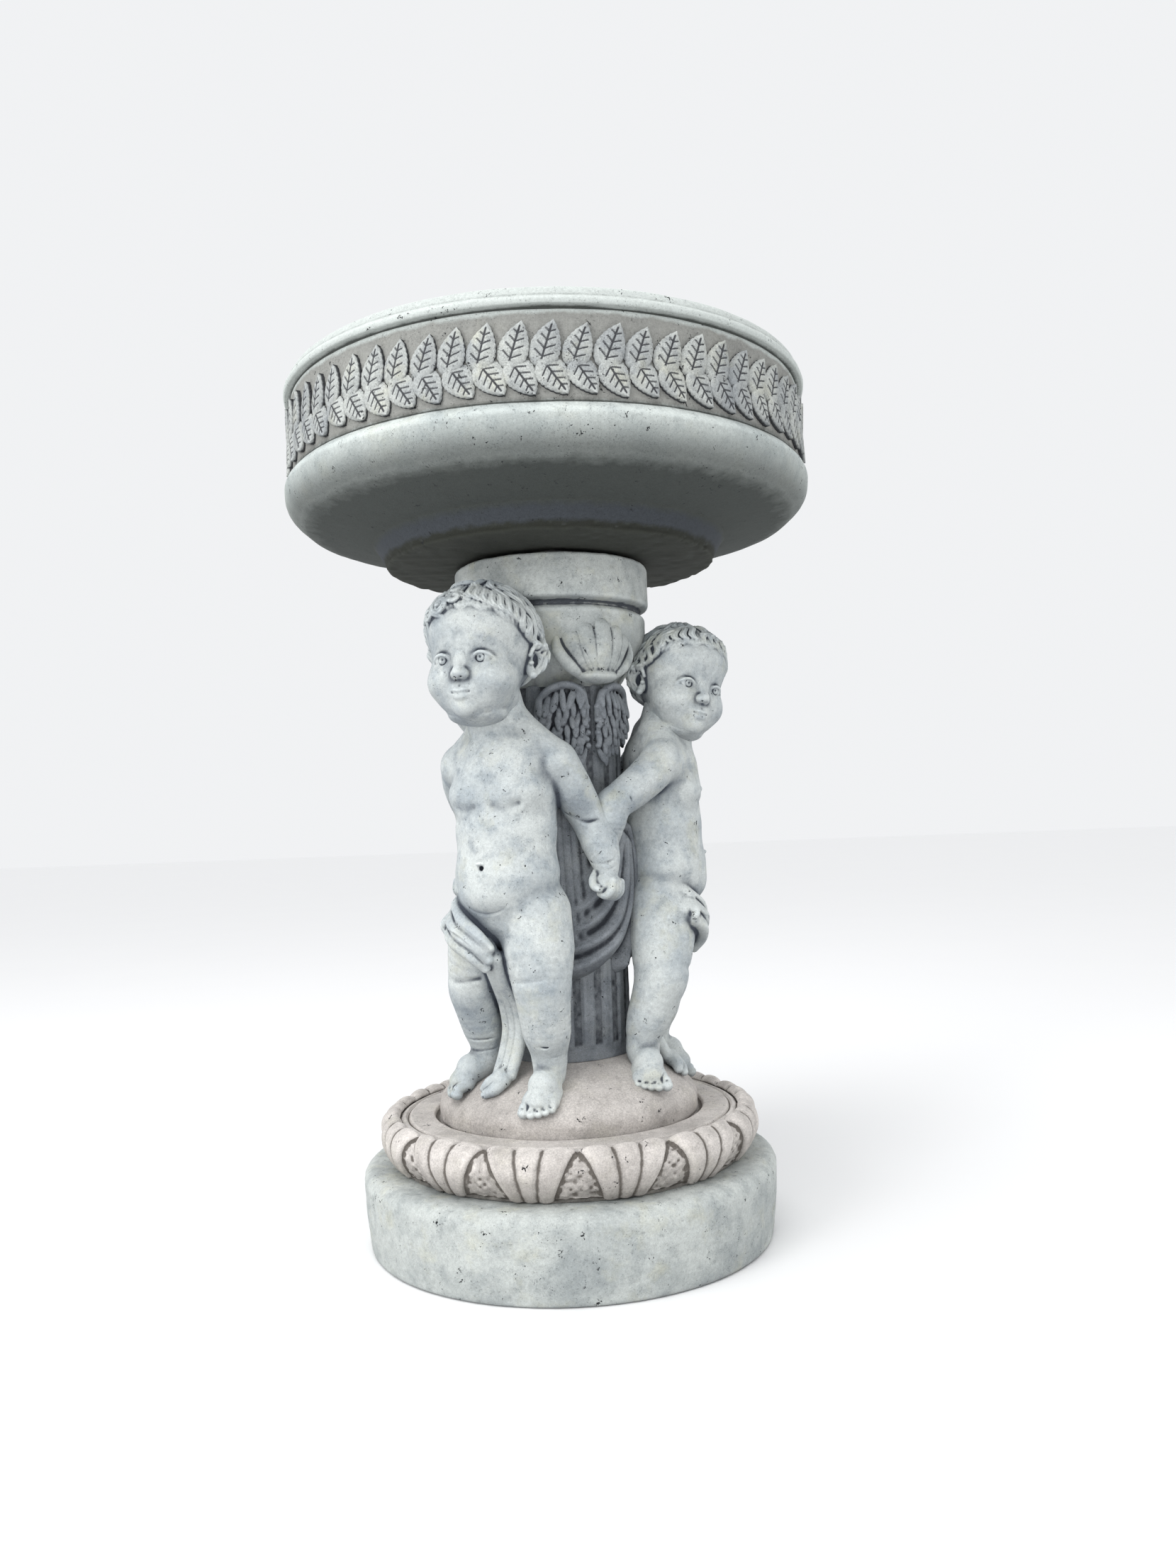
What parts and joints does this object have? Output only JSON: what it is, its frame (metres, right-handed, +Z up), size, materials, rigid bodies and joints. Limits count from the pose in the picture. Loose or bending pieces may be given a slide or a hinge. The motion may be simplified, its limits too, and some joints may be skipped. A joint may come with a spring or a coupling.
{
  "type": "bird bath",
  "caption": "Cast-stone bird bath: wide round dish with a leaf frieze on a pedestal of standing winged children over a round carved base.",
  "frame": {"origin": "centre of the plinth's underside, on the ground", "axes": "+Z up along the shaft, -Y towards the front, +X to the right seen from the front"},
  "size_m": [0.5259, 0.526, 0.845],
  "materials": {
    "cast_stone": "matte",
    "sandy_stone": "matte",
    "shaded_stone": "matte",
    "steel": "satin",
    "rubber": "matte"
  },
  "bodies": {
    "base": {"plinth": "cast_stone", "palmette_moulding": "sandy_stone"},
    "pedestal": {"mound": "sandy_stone", "fluted_shaft": "shaded_stone", "capital": "cast_stone", "pedestal_dowel": "steel", "basin_dowel": "steel", "bedding_pads": "rubber", "child_front": "cast_stone", "child_right": "cast_stone", "child_back": "cast_stone", "shell_front": "cast_stone", "shell_right": "cast_stone", "shell_back": "cast_stone", "wings_front": "shaded_stone", "wings_right": "shaded_stone", "wings_back": "shaded_stone", "swag_front": "shaded_stone", "swag_right": "shaded_stone", "swag_back": "shaded_stone"},
    "basin": {"basin": "cast_stone", "laurel_lower": "cast_stone", "laurel_upper": "cast_stone"}
  },
  "joints": [
    {"name": "pedestal_lift", "type": "slide", "parent": "base", "child": "pedestal", "axis": [0, 0, 1], "range_m": [0, 0.06]},
    {"name": "basin_lift", "type": "slide", "parent": "pedestal", "child": "basin", "axis": [0, 0, 1], "range_m": [0, 0.06]}
  ]
}
